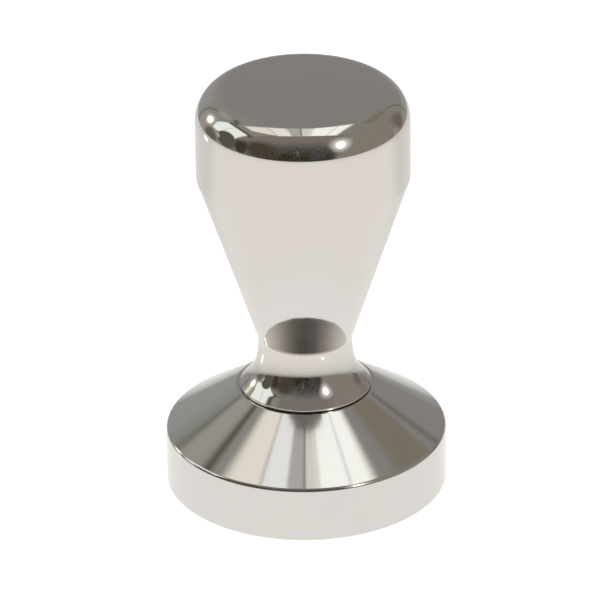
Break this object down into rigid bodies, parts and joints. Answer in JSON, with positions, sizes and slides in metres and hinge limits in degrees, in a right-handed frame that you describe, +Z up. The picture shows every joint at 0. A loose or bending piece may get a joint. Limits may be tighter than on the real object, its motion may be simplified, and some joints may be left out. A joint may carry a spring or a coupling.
{
  "type": "espresso tamper",
  "caption": "Espresso tamper: a turned steel base with a flat tamping face and a mirror-polished handle that unscrews from a threaded stud.",
  "frame": {"origin": "centre of the flat tamping face, at the bottom of the tool", "axes": "+Z up the turning axis, from the tamping face to the top of the handle; X and Y are arbitrary, as every outer shape is turned about Z"},
  "size_m": [0.058, 0.058, 0.0886],
  "materials": {
    "turned_steel": "gloss",
    "stud_steel": "satin",
    "black_rubber": "matte",
    "polished_metal": "polished"
  },
  "bodies": {
    "base": {"base": "turned_steel", "joining_stud": "stud_steel"},
    "washer": {"friction_washer": "black_rubber"},
    "handle": {"handle": "polished_metal"}
  },
  "joints": [
    {"name": "handle_lift", "type": "slide", "parent": "base", "child": "washer", "axis": [0, 0, 1], "range_m": [0, 0.00901]},
    {"name": "handle_turn", "type": "hinge", "parent": "washer", "child": "handle", "pos_m": [0, 0, 0.02155], "axis": [0, 0, 1], "range_deg": [0, 2160]}
  ],
  "couplings": [
    {"joint": "handle_lift", "follows": "handle_turn", "m_per_rad": 0.00023873}
  ]
}
